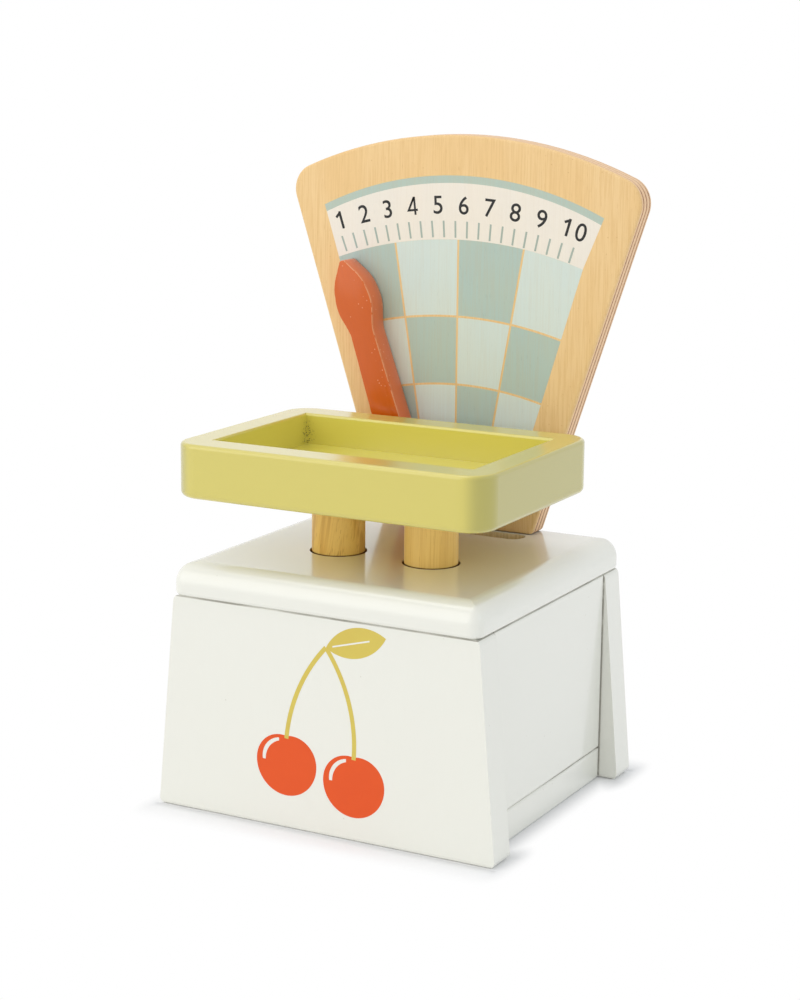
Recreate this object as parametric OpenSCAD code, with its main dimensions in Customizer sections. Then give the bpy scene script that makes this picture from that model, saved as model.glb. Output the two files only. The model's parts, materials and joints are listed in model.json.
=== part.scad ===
// Wooden toy market scale: a goods tray on two posts presses a needle across a fan-shaped dial.
// The origin is on the floor under the middle of the base box. +Z is up and -Y is the front.

/* [Base box] */
// Depth of the box, front face to back face
base_d = 120; // [110:1:130]
// Width of the front and back boards at the floor
foot_w = 138.4; // [134:0.2:142]
// Width of the front and back boards under the lid
shoulder_w = 123.8; // [122:0.2:128]
// Height of the box under the lid
base_h = 80.9; // [78:0.1:84]
// Thickness of the front and back boards
board_t = 12.6; // [12:0.2:13]
// Distance between the outer faces of the side panels
panels_w = 123; // [121:1:124]
// Thickness of the side panels
panel_t = 10; // [8:1:11]
// Thickness of the bottom board
bottom_t = 12.2; // [10:0.1:14]

/* [Lid] */
// Width of the lid
lid_w = 124.6; // [122:0.2:128]
// Depth of the lid
lid_d = 122; // [120:1:126]
// Thickness of the lid
lid_t = 12.2; // [11:0.2:14]
// Radius of the rounded upper edges
lid_round = 7.8; // [4:0.2:9]
// Length of the needle's slot
slot_l = 63; // [60:1:66]
// Width of the needle's slot
slot_w = 10; // [9:0.1:10.2]
// Distance of the slot's middle behind the origin
slot_y = 39.4; // [39:0.1:39.8]

/* [Tray] */
// Width of the tray
tray_w = 126; // [116:0.2:130]
// Depth of the tray
tray_d = 90.6; // [84:0.2:92]
// Height of the tray's rim
tray_h = 20; // [18:1:24]
// Distance from the lid to the underside of the tray at rest
tray_gap = 23.8; // [20:0.2:28]
// Middle of the tray, measured backwards from the origin
tray_y = -14.8; // [-15.4:0.1:-14]
// Width of the front and back rails
long_rail_w = 12.7; // [12:0.1:14]
// Width of the left and right rails
end_rail_w = 11; // [10:0.5:12]
// Thickness of the tray's floor
floor_t = 8.2; // [7:0.2:10]

/* [Posts] */
// Diameter of the two posts
post_d = 19.8; // [18:0.2:20]
// Distance between the posts' middles
post_gap = 38.7; // [37:0.1:41]
// Middle of the posts, measured backwards from the origin
post_y = -13.9; // [-14.5:0.1:-13]
// Diameter of the posts' holes in the lid
post_hole_d = 21.4; // [20.8:0.2:22]

/* [Dial] */
// Height of the dial above the lid
dial_h = 150.3; // [144:0.1:156]
// Width of the dial where it stands on the lid
dial_foot_w = 64.6; // [62:0.2:68]
// Lean of the dial's sides from upright, in degrees
dial_lean = 18; // [16:0.25:19]
// Radius of the dial's top edge
dial_arc_r = 170; // [140:1:180]
// Radius of the dial's upper corners
dial_corner_r = 10; // [6:0.5:14]
// Thickness of the dial
dial_t = 10; // [9:0.5:11]
// Distance of the dial's front face behind the origin
dial_y = 44.6; // [44.4:0.1:45]

/* [Needle] */
// Height of the needle's pivot above the floor
pivot_z = 56.4; // [54:0.1:57]
// Distance from the pivot to the tip, before the tip is rounded
needle_l = 146.9; // [140:0.1:148]
// Thickness of the needle
needle_t = 9.2; // [7:0.1:9.4]
// Lean of the needle to the left at rest, in degrees
needle_lean = 18.6; // [17:0.1:19]

/* [Mechanism] */
// How far the tray goes down
travel = 15; // [14:0.5:16]
// Diameter of the drive pin
pin_d = 4; // [3.5:0.5:4]
// Play of the drive pin on each side of the needle's crank slot
pin_play = 0.35; // [0.3:0.05:0.5]
// Diameter of the pivot and of the guide pegs
peg_d = 8; // [7:0.5:9]
// Diameter of the spring wire
wire_d = 1.4; // [1:0.2:1.8]
// Mean diameter of the springs
spring_d = 13.2; // [12:0.2:14]
// Turns of each spring
spring_turns = 9; // [7:1:11]

/* [Hidden] */
$fn = 96;

// Colours
cream = [0.93, 0.93, 0.89];
lime = [0.83, 0.79, 0.42];
ply = [0.9, 0.74, 0.5];
beech = [0.87, 0.68, 0.42];
pine = [0.84, 0.72, 0.52];
terracotta = [0.8, 0.42, 0.22];
steel = [0.72, 0.73, 0.75];
felt = [0.45, 0.45, 0.43];

// Small gaps: glue joints, screws in their holes, a peg in the bore that slides or turns on it
glue_gap = 0.05;
slide_gap = 0.3;
// Longer than anything here, and the straight steps that stand for a round on a slim shape
reach = 400;
arc_steps = 8;

// How far a cutter goes past the face that it cuts
past = 1;

// Softened edges
edge_r = 1.5;
seam_r = 0.8;
back_edge_r = 3;
foot_r = 2.4;
panel_edge_r = 1.2;
lid_corner_r = 4.6;
lid_under_r = 1.6;
shoulder_r = 2.4;
tray_corner_r = 10.5;
tray_under_r = 2.2;
tray_edge_r = 1.5;
tray_inner_r = 1;
dial_foot_r = 2.5;

// Levels and places that follow from the driving sizes
inner_y = base_d / 2 - board_t;
inner_x = panels_w / 2 - panel_t;
lid_top = base_h + lid_t;
tray_z = lid_top + tray_gap;
board_lean = atan((foot_w - shoulder_w) / 2 / base_h);

// Pieces that join the box
block_w = 13;
screw_d = 3.6;
head_d = 7.4;
head_h = 2.5;
counterbore_d = 8.4;
counterbore_h = 3;
block_screw_x = inner_x - block_w / 2;
block_screw_y = inner_y - block_w / 2;
bottom_screw_l = 27;
dial_screw_x = 18;
dial_screw_y = dial_y + dial_t / 2;
dial_screw_l = 27;
lid_dowel_d = 6;
lid_dowel_x = 48;
lid_dowel_y = (base_d - board_t) / 2;
lid_dowel_low = 14;
lid_dowel_high = 8;
lid_dowel_spare = 0.4;

// The needle turns between a spacer on the back board and a washer on the end of its dowel
needle_y = slot_y - needle_t / 2;
needle_play = 0.15;
pivot_depth = 8;
spacer_d = 18;
washer_d = 15;
washer_t = 1.2;
washer_hole_d = 3.4;
pivot_proud = 0.45;
pivot_front_y = needle_y - pivot_proud;
pivot_screw_d = 3;
pivot_screw_l = 16;
hub_r = 11;

// The pin stands where the crank's angle and the tray's travel agree at both ends
pin_x = travel / 2 / tan(needle_lean);
pin_z = pivot_z + travel / 2;
pin_depth = 10;
pin_proud = 2;
crank_r = 7;
crank_l = 30.5;
crank_fillet = 5;
crank_inset = 0.3;
crank_slot_spare = 0.6;
crank_slot_in = pin_x - crank_slot_spare;
crank_slot_out = pin_x / cos(needle_lean) + crank_slot_spare;

// The crosshead joins the posts under the lid and stops against it through two felt rings
felt_t = 1.9;
felt_d = 30;
stop_play = 0.1;
crosshead_w = 80;
crosshead_front = -30;
crosshead_back = 27;
crosshead_t = 12;
crosshead_z = base_h - felt_t - stop_play - crosshead_t;
post_seat = 8;
post_low = crosshead_z + crosshead_t - post_seat;
tray_seat = 5;
post_high = tray_z + tray_seat;
peg_seat = 8;
peg_top = base_h - 4;
peg_bevel = 1;
bore_spare = 0.1;
post_bore_top = peg_top + travel + bore_spare;

// The drive block hangs behind the crosshead and holds the pin
drive_block_w = 14;
drive_block_front = 5;
drive_block_clear = 0.8;
drive_block_back = needle_y - drive_block_clear;
drive_block_low = base_h - 23;
drive_block_high = base_h - 7;
drive_screws_y = [11, 19];
drive_screw_l = 15;

// Springs: rings of each turn, and sides of the wire
spring_rings = 8;
spring_sides = 6;
spring_z = bottom_t;
spring_top = crosshead_z - glue_gap;

// Outlines with rounded corners, given as [x, y, corner radius] anticlockwise
function flat(p) = [p[0], p[1]];
function unit(v) = v / norm(v);
function corner(points, i) = points[(i + len(points)) % len(points)];
function before(points, i) = unit(flat(corner(points, i - 1)) - flat(points[i]));
function after(points, i) = unit(flat(corner(points, i + 1)) - flat(points[i]));
function half_angle(points, i) = acos(before(points, i) * after(points, i)) / 2;
function outward(points, i) = cross(after(points, i), before(points, i)) > 0;
function ends_of_round(points, i) =
    let (p = flat(points[i]), s = points[i][2] / tan(half_angle(points, i)))
    [p + s * before(points, i), p + s * after(points, i)];
function middle_of_round(points, i) =
    flat(points[i])
    + unit(before(points, i) + after(points, i)) * points[i][2] / sin(half_angle(points, i));
function rounded(points, i) = points[i][2] > 0;

module soft_outline(points) {
    all = [0 : len(points) - 1];
    difference() {
        union() {
            polygon([for (i = all) each rounded(points, i) ? ends_of_round(points, i) : [flat(points[i])]]);
            for (i = all)
                if (rounded(points, i) && outward(points, i))
                    translate(middle_of_round(points, i)) circle(points[i][2]);
        }
        for (i = all)
            if (rounded(points, i) && !outward(points, i))
                translate(middle_of_round(points, i)) circle(points[i][2]);
    }
}

// The same rule with points along each round, for a shape that is narrower than its rounds
function arc_of_round(points, i) = let (m = middle_of_round(points, i), ends = ends_of_round(points, i))
    [for (k = [0 : arc_steps])
        m + points[i][2] * unit((1 - k / arc_steps) * (ends[0] - m) + k / arc_steps * (ends[1] - m))];
module slim_outline(points) {
    polygon([for (i = [0 : len(points) - 1])
        each rounded(points, i) ? arc_of_round(points, i) : [flat(points[i])]]);
}

// Corner list of a rectangle, radii from its lower left corner anticlockwise
function rectangle(x0, x1, y0, y1, r) = [[x0, y0, r[0]], [x1, y0, r[1]], [x1, y1, r[2]], [x0, y1, r[3]]];
function all_round(r) = [r, r, r, r];

// A slot with round ends, given the middles of its end circles
module stadium(x0, x1, d) {
    for (x = [x0, x1]) translate([x, 0]) circle(d = d);
    translate([x0, -d / 2]) square([x1 - x0, d]);
}

// Extrusions: along +Y from y, along the whole of X, and along the whole of Z
module along_y(y, length) translate([0, y + length, 0]) rotate([90, 0, 0]) linear_extrude(length) children();
module along_x() translate([-reach / 2, 0, 0]) rotate([90, 0, 90]) linear_extrude(reach) children();
module along_z(z, length) translate([0, 0, z]) linear_extrude(length) children();

// A block with every edge softened: the three outlines of its faces, crossed
module soft_block(low, high, plan_r, front_r, side_r) {
    intersection() {
        along_z(low[2], high[2] - low[2])
            soft_outline(rectangle(low[0], high[0], low[1], high[1], plan_r));
        along_y(low[1], high[1] - low[1])
            soft_outline(rectangle(low[0], high[0], low[2], high[2], front_r));
        along_x() soft_outline(rectangle(low[1], high[1], low[2], high[2], side_r));
    }
}

// A pan-head wood screw pointing up, its head's bearing face at z = 0, with a cross recess
module wood_screw(length, d) {
    tip = 1.5 * d;
    bow = 0.6;
    recess_w = 1;
    recess_l = head_d * 2 / 3;
    recess_h = 1;
    difference() {
        rotate_extrude()
            polygon([[0, -head_h], [head_d / 2 - bow, -head_h], [head_d / 2, -head_h + bow], [head_d / 2, 0],
                [d / 2, 0], [d / 2, length - tip], [0, length]]);
        for (turn = [0, 90])
            rotate(turn) translate([-recess_l / 2, -recess_w / 2, -head_h - past])
                cube([recess_l, recess_w, recess_h + past]);
    }
}

module screw_hole(length, d) cylinder(d = d + 2 * glue_gap, h = length + 2 * glue_gap);

// Places in plan
module at_corners(x, y) for (sx = [-1, 1], sy = [-1, 1]) translate([sx * x, sy * y, 0]) children();
module at_sides(x, y) for (sx = [-1, 1]) translate([sx * x, y, 0]) children();
// On the needle's pivot, which runs backwards from y
module on_pivot(y) translate([0, y, pivot_z]) rotate([-90, 0, 0]) children();
module lid_dowel_holes() at_corners(lid_dowel_x, lid_dowel_y) translate([0, 0, base_h - lid_dowel_low])
    cylinder(d = lid_dowel_d + 2 * glue_gap, h = lid_dowel_low + lid_dowel_high);

// The tapered end board, its lean shared by both sides; y is its front face, and outer_r gives the
// rounds of its upright edges, front and back; the lower back edge has the back one too
module end_board(y, outer_r) {
    side_x = foot_w / 2;
    intersection() {
        along_y(y, board_t)
            soft_outline([[-side_x, 0, foot_r], [side_x, 0, foot_r],
                [shoulder_w / 2, base_h, shoulder_r], [-shoulder_w / 2, base_h, shoulder_r]]);
        along_x() soft_outline(rectangle(y, y + board_t, 0, base_h, [edge_r, outer_r[1], seam_r, seam_r]));
        for (side = [-1, 1])
            translate([side * side_x, 0, 0]) rotate([0, -side * board_lean, 0])
                along_z(-board_t, base_h + 3 * board_t)
                    soft_outline(side > 0
                        ? rectangle(-reach, 0, y, y + board_t, [0, outer_r[0], outer_r[1], 0])
                        : rectangle(0, reach, y, y + board_t, [outer_r[0], 0, 0, outer_r[1]]));
    }
}

module front_board() color(cream) {
    difference() {
        end_board(-base_d / 2, [edge_r, edge_r]);
        lid_dowel_holes();
    }
}

module back_board() color(cream) {
    difference() {
        end_board(inner_y, [edge_r, back_edge_r]);
        lid_dowel_holes();
        on_pivot(inner_y - past) cylinder(d = peg_d + 2 * glue_gap, h = pivot_depth + past);
    }
}

module side_panel(side) {
    low_x = side > 0 ? inner_x : -inner_x - panel_t;
    color(cream) soft_block([low_x, -inner_y, bottom_t], [low_x + panel_t, inner_y, base_h],
        all_round(panel_edge_r), all_round(panel_edge_r), all_round(panel_edge_r));
}

module bottom_board() color(cream) {
    difference() {
        soft_block([-panels_w / 2, -inner_y, 0], [panels_w / 2, inner_y, bottom_t],
            all_round(panel_edge_r), all_round(panel_edge_r), all_round(panel_edge_r));
        at_corners(block_screw_x, block_screw_y) {
            translate([0, 0, -past]) cylinder(d = counterbore_d, h = counterbore_h + past);
            screw_hole(bottom_t + past, screw_d);
        }
        at_sides(post_gap / 2, post_y)
            translate([0, 0, bottom_t - peg_seat]) cylinder(d = peg_d + 2 * glue_gap, h = peg_seat + past);
    }
}

// The lid's section goes straight along its sides and turns round its corners
lid_edges = [lid_under_r, lid_under_r, lid_round, lid_round];
module lid_corner_section() {
    intersection() {
        square([lid_corner_r, lid_t]);
        translate([lid_corner_r - lid_w, 0]) soft_outline(rectangle(0, lid_w, 0, lid_t, lid_edges));
    }
}

module lid_blank() {
    x = lid_w / 2 - lid_corner_r;
    y = lid_d / 2 - lid_corner_r;
    side = lid_corner_r + past;
    difference() {
        soft_block([-lid_w / 2, -lid_d / 2, base_h], [lid_w / 2, lid_d / 2, lid_top],
            all_round(0), lid_edges, lid_edges);
        for (left = [0, 1], front = [0, 1]) mirror([left, 0, 0]) mirror([0, front, 0])
            translate([x, y, base_h - past]) cube([side, side, lid_t + 2 * past]);
    }
    for (left = [0, 1], front = [0, 1]) mirror([left, 0, 0]) mirror([0, front, 0])
        translate([x, y, base_h]) rotate_extrude(angle = 90) lid_corner_section();
}

module lid() color(cream) {
    slot_end = (slot_l - slot_w) / 2;
    through = lid_t + 2 * past;
    difference() {
        lid_blank();
        at_sides(post_gap / 2, post_y)
            translate([0, 0, base_h - past]) cylinder(d = post_hole_d, h = through);
        translate([0, slot_y, 0]) along_z(base_h - past, through) stadium(-slot_end, slot_end, slot_w);
        at_sides(dial_screw_x, dial_screw_y) translate([0, 0, base_h]) {
            translate([0, 0, -past]) cylinder(d = counterbore_d, h = counterbore_h + past);
            screw_hole(lid_t + past, screw_d);
        }
        lid_dowel_holes();
    }
}

module corner_blocks() color(pine) {
    at_corners(block_screw_x, block_screw_y) difference() {
        translate([-block_w / 2, -block_w / 2, bottom_t]) cube([block_w, block_w, base_h - bottom_t]);
        translate([0, 0, counterbore_h]) screw_hole(bottom_screw_l, screw_d);
    }
}

module bottom_screws() color(steel)
    at_corners(block_screw_x, block_screw_y)
        translate([0, 0, counterbore_h]) wood_screw(bottom_screw_l, screw_d);

module lid_dowels() color(beech)
    at_corners(lid_dowel_x, lid_dowel_y) translate([0, 0, base_h - lid_dowel_low])
        cylinder(d = lid_dowel_d, h = lid_dowel_low + lid_dowel_high - lid_dowel_spare);

// The dial's outline, its foot on the X axis. The middle of an upper corner's round is on a line inside
// the slanted side, at the point where a circle inside the top arc crosses it.
function mirrored(p) = [-p[0], p[1]];
dial_side = [sin(dial_lean), cos(dial_lean)];
dial_inward = [-cos(dial_lean), sin(dial_lean)];
dial_foot = [dial_foot_w / 2, 0];
dial_arc_middle = [0, dial_h - dial_arc_r];
dial_start = dial_foot + dial_corner_r * dial_inward - dial_arc_middle;
dial_along = -dial_start * dial_side
    + sqrt(pow(dial_start * dial_side, 2) - dial_start * dial_start + pow(dial_arc_r - dial_corner_r, 2));
dial_corner = dial_arc_middle + dial_start + dial_along * dial_side;
dial_arc_end = unit(dial_corner - dial_arc_middle);

module dial_outline() {
    side_end = dial_corner - dial_corner_r * dial_inward;
    side_top = dial_foot + 2 * dial_h * dial_side;
    arc_end = dial_arc_middle + dial_arc_r * dial_arc_end;
    beyond = arc_end + dial_corner_r * dial_arc_end;
    intersection() {
        union() {
            intersection() {
                polygon([mirrored(dial_foot), dial_foot, side_end, arc_end, beyond, [0, 2 * dial_h],
                    mirrored(beyond), mirrored(arc_end), mirrored(side_end)]);
                translate(dial_arc_middle) circle(dial_arc_r, $fn = 240);
            }
            translate(dial_corner) circle(dial_corner_r);
            translate(mirrored(dial_corner)) circle(dial_corner_r);
        }
        soft_outline([concat(mirrored(dial_foot), dial_foot_r), concat(dial_foot, dial_foot_r),
            concat(side_top, 0), concat(mirrored(side_top), 0)]);
    }
}

module dial_board() color(ply) {
    difference() {
        translate([0, 0, lid_top]) along_y(dial_y, dial_t) dial_outline();
        at_sides(dial_screw_x, dial_screw_y)
            translate([0, 0, base_h + counterbore_h]) screw_hole(dial_screw_l, screw_d);
    }
}

module dial_screws() color(steel)
    at_sides(dial_screw_x, dial_screw_y)
        translate([0, 0, base_h + counterbore_h]) wood_screw(dial_screw_l, screw_d);

module pivot_dowel() color(beech) {
    difference() {
        on_pivot(pivot_front_y) cylinder(d = peg_d, h = inner_y + pivot_depth - pivot_front_y);
        on_pivot(pivot_front_y - past) screw_hole(pivot_screw_l - washer_t + past, pivot_screw_d);
    }
}

module pivot_spacer() color(beech) {
    difference() {
        on_pivot(needle_y + needle_t + needle_play)
            cylinder(d = spacer_d, h = inner_y - needle_y - needle_t - needle_play);
        on_pivot(needle_y) cylinder(d = peg_d + 2 * glue_gap, h = 2 * needle_t);
    }
}

module pivot_washer() color(steel) {
    difference() {
        on_pivot(pivot_front_y - washer_t) cylinder(d = washer_d, h = washer_t);
        on_pivot(pivot_front_y - washer_t - past) cylinder(d = washer_hole_d, h = washer_t + 2 * past);
    }
}

module pivot_screw() color(steel) on_pivot(pivot_front_y - washer_t) wood_screw(pivot_screw_l, pivot_screw_d);

module guide_pegs() color(beech)
    at_sides(post_gap / 2, post_y) rotate_extrude()
        polygon([[0, bottom_t - peg_seat], [peg_d / 2, bottom_t - peg_seat], [peg_d / 2, peg_top - peg_bevel],
            [peg_d / 2 - peg_bevel, peg_top], [0, peg_top]]);

// A spring: one tube on a helix, whose ends turn straight down and up onto what they press
spring_foot = wire_d;
spring_rise = spring_top - spring_z - 2 * spring_foot;
spring_steps = spring_turns * spring_rings;
function spring_point(i) = let (turn = 360 * i / spring_rings, rise = spring_rise * i / spring_steps)
    [spring_d / 2 * cos(turn), spring_d / 2 * sin(turn), spring_z + spring_foot + rise];
spring_path = concat([[spring_d / 2, 0, spring_z]], [for (i = [0 : spring_steps]) spring_point(i)],
    [[spring_d / 2, 0, spring_top]]);
function spring_ring(i) = let (
        last = len(spring_path) - 1,
        upright = i == 0 || i == last,
        way = upright ? [0, 0, 1] : unit(spring_path[i + 1] - spring_path[i - 1]),
        out = unit([spring_path[i][0], spring_path[i][1], 0]),
        side = unit(cross(way, out)),
        face = cross(side, way))
    [for (k = [0 : spring_sides - 1])
        let (a = 360 * k / spring_sides) spring_path[i] + wire_d / 2 * (cos(a) * face + sin(a) * side)];

module spring() {
    rings = len(spring_path);
    n = spring_sides;
    skin = [for (i = [0 : rings - 2], k = [0 : n - 1]) let (
            a = i * n + k,
            b = i * n + (k + 1) % n)
        each [[a, a + n, b], [b, a + n, b + n]]];
    low_end = [for (k = [1 : n - 2]) [0, k, k + 1]];
    high = (rings - 1) * n;
    high_end = [for (k = [1 : n - 2]) [high, high + k + 1, high + k]];
    polyhedron([for (i = [0 : rings - 1]) each spring_ring(i)], concat(skin, low_end, high_end));
}

// Least gap between two turns of a spring, measured on its points
half_turn = spring_rings / 2;
spring_least_gap = min([for (i = [0 : spring_steps - half_turn - 1], j = [i + half_turn : spring_steps])
    norm(spring_point(j) - spring_point(i))]) - wire_d;
echo(spring_least_gap = spring_least_gap);

module spring_on_peg(side) color(steel) translate([side * post_gap / 2, post_y, 0]) spring();

// Tray rails: one section, run straight and round the corners
module rail_section(width)
    soft_outline(rectangle(0, width, 0, tray_h, [tray_under_r, 0, tray_inner_r, tray_edge_r]));
module turned_section()
    soft_outline(rectangle(0, tray_corner_r, 0, tray_h, [0, tray_under_r, tray_edge_r, 0]));

module tray_long_rail(side) {
    straight = tray_w - 2 * tray_corner_r;
    rear = side > 0 ? 1 : 0;
    translate([0, tray_y, tray_z]) mirror([0, rear, 0]) translate([0, -tray_d / 2, 0]) {
        translate([-straight / 2, 0, 0]) rotate([90, 0, 90]) linear_extrude(straight)
            rail_section(long_rail_w);
        for (left = [0, 1]) mirror([left, 0, 0]) translate([straight / 2, 0, 0]) {
            translate([0, tray_corner_r, 0]) rotate(-90) rotate_extrude(angle = 90) turned_section();
            along_y(tray_corner_r, long_rail_w - tray_corner_r) turned_section();
        }
    }
}

module tray_end_rail(side) {
    length = tray_d - 2 * long_rail_w;
    left = side < 0 ? 0 : 1;
    mirror([left, 0, 0]) translate([-tray_w / 2, tray_y, tray_z]) along_y(-length / 2, length)
        rail_section(end_rail_w);
}

module tray_floor() color(lime) {
    w = tray_w - 2 * end_rail_w;
    d = tray_d - 2 * long_rail_w;
    difference() {
        translate([-w / 2, tray_y - d / 2, tray_z]) cube([w, d, floor_t]);
        at_sides(post_gap / 2, post_y) translate([0, 0, tray_z - past])
            cylinder(d = post_d + 2 * glue_gap, h = tray_seat + past);
    }
}

module post(side) color(beech) {
    translate([side * post_gap / 2, post_y, 0]) difference() {
        translate([0, 0, post_low]) cylinder(d = post_d, h = post_high - post_low);
        translate([0, 0, post_low - past])
            cylinder(d = peg_d + 2 * slide_gap, h = post_bore_top - post_low + past);
    }
}

module crosshead() color(pine) {
    corner_r = 6;
    difference() {
        along_z(crosshead_z, crosshead_t) soft_outline(rectangle(-crosshead_w / 2, crosshead_w / 2,
            crosshead_front, crosshead_back, all_round(corner_r)));
        at_sides(post_gap / 2, post_y) {
            translate([0, 0, post_low]) cylinder(d = post_d + 2 * glue_gap, h = crosshead_t);
            translate([0, 0, crosshead_z - past]) cylinder(d = peg_d + 2 * slide_gap, h = crosshead_t);
        }
        for (y = drive_screws_y) translate([pin_x, y, crosshead_z]) {
            screw_hole(crosshead_t, screw_d);
            translate([0, 0, crosshead_t - counterbore_h])
                cylinder(d = counterbore_d, h = counterbore_h + past);
        }
    }
}

module stop_felts() color(felt) {
    at_sides(post_gap / 2, post_y) translate([0, 0, crosshead_z + crosshead_t]) difference() {
        cylinder(d = felt_d, h = felt_t);
        translate([0, 0, -past]) cylinder(d = post_d + 2 * slide_gap, h = felt_t + 2 * past);
    }
}

// The block hangs under the crosshead, and its back end steps up behind the crosshead's edge
module drive_block() color(beech) {
    block_r = 3;
    step_r = 2;
    difference() {
        translate([pin_x - drive_block_w / 2, 0, 0]) rotate([90, 0, 90]) linear_extrude(drive_block_w)
            soft_outline([[drive_block_front, crosshead_z, 0], [drive_block_front, drive_block_low, block_r],
                [drive_block_back, drive_block_low, step_r], [drive_block_back, drive_block_high, step_r],
                [crosshead_back, drive_block_high, step_r], [crosshead_back, crosshead_z, 0]]);
        for (y = drive_screws_y) translate([pin_x, y, crosshead_z + crosshead_t - counterbore_h])
            mirror([0, 0, 1]) screw_hole(drive_screw_l, screw_d);
        translate([pin_x, drive_block_back - pin_depth, pin_z]) rotate([-90, 0, 0])
            cylinder(d = pin_d + 2 * glue_gap, h = pin_depth + past);
    }
}

module block_screws() color(steel) {
    for (y = drive_screws_y) translate([pin_x, y, crosshead_z + crosshead_t - counterbore_h])
        mirror([0, 0, 1]) wood_screw(drive_screw_l, screw_d);
}

module drive_pin() color(steel)
    translate([pin_x, drive_block_back - pin_depth, pin_z]) rotate([-90, 0, 0])
        cylinder(d = pin_d, h = needle_y + needle_t + pin_proud - drive_block_back + pin_depth);

// The needle upright: a leaf-shaped head on a tapered shaft, with a crank at its foot pointing right
head_half_w = 8.1;
head_wide_at = needle_l - 19.4;
shoulder_half_w = 6.7;
shoulder_at = needle_l - 10;
neck_half_w = 5.1;
neck_at = needle_l - 29.4;
shaft_half_w = 7.5;
head_curve_r = 16;
neck_r = 12;
tip_r = 1.5;

module needle_outline() {
    difference() {
        union() {
            slim_outline([[-shaft_half_w, 0, 0], [shaft_half_w, 0, 0],
                [neck_half_w, neck_at, neck_r], [head_half_w, head_wide_at, head_curve_r],
                [shoulder_half_w, shoulder_at, head_curve_r], [0, needle_l, tip_r],
                [-shoulder_half_w, shoulder_at, head_curve_r], [-head_half_w, head_wide_at, head_curve_r],
                [-neck_half_w, neck_at, neck_r]]);
            crank_outline();
            circle(hub_r);
        }
        circle(d = peg_d + 2 * slide_gap);
        stadium(crank_slot_in, crank_slot_out, pin_d + 2 * pin_play);
    }
}

// The crank fills the inner corner beside the shaft with a curve
module crank_outline() {
    inner = shaft_half_w - crank_inset;
    stadium(0, crank_l - crank_r, 2 * crank_r);
    difference() {
        translate([0, crank_r - past]) square([inner + crank_fillet, crank_fillet + past]);
        translate([inner + crank_fillet, crank_r + crank_fillet]) circle(crank_fillet);
    }
}

module needle() color(terracotta)
    translate([0, 0, pivot_z]) rotate([0, -needle_lean, 0]) along_y(needle_y, needle_t) needle_outline();

front_board();
back_board();
side_panel(-1);  // side_panel_left
side_panel(1);  // side_panel_right
bottom_board();
lid();
corner_blocks();
bottom_screws();
lid_dowels();
dial_board();
dial_screws();
pivot_dowel();
pivot_spacer();
pivot_washer();
pivot_screw();
guide_pegs();
spring_on_peg(-1);  // spring_left
spring_on_peg(1);  // spring_right
color(lime) tray_long_rail(-1);  // tray_rail_front
color(lime) tray_long_rail(1);  // tray_rail_back
color(lime) tray_end_rail(-1);  // tray_rail_left
color(lime) tray_end_rail(1);  // tray_rail_right
tray_floor();
post(-1);  // post_left
post(1);  // post_right
crosshead();
stop_felts();
drive_block();
block_screws();
drive_pin();
needle();
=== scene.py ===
"""Looks of a wooden toy market scale: painted box and tray, bare wood, a printed dial and a studio."""
import json
import math

import bpy
from bpy.props import FloatProperty, FloatVectorProperty, PointerProperty
from bpy.types import Operator, Panel, PropertyGroup
from mathutils import Matrix, Vector

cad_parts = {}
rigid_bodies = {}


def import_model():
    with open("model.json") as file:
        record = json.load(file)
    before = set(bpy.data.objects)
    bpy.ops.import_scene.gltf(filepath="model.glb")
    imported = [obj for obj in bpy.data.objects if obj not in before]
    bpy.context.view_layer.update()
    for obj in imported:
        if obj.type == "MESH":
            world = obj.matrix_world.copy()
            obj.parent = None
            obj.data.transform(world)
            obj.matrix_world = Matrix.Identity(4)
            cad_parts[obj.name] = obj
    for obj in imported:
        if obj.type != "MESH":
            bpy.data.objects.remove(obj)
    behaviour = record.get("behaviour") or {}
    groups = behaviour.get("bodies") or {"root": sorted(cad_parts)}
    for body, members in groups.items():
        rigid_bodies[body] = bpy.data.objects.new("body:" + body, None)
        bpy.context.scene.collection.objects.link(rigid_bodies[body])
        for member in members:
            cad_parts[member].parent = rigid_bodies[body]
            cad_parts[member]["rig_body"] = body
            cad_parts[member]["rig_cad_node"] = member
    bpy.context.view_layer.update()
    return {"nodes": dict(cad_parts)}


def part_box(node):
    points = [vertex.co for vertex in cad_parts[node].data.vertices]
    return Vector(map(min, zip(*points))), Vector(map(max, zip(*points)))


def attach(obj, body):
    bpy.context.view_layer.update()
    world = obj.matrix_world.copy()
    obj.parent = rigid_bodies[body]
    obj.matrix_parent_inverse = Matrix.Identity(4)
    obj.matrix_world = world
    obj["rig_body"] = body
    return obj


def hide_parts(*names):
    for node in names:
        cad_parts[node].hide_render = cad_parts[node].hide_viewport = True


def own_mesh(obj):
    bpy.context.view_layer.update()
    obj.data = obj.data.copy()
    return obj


bl_info = {
    "name": "Toy Market Scale",
    "version": (1, 0, 0),
    "blender": (4, 5, 0),
    "location": "3D View > Sidebar > Toy Scale",
    "description": "Paints, woods, dial print and studio of a wooden toy market scale",
    "category": "Object",
}

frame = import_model()

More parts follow.
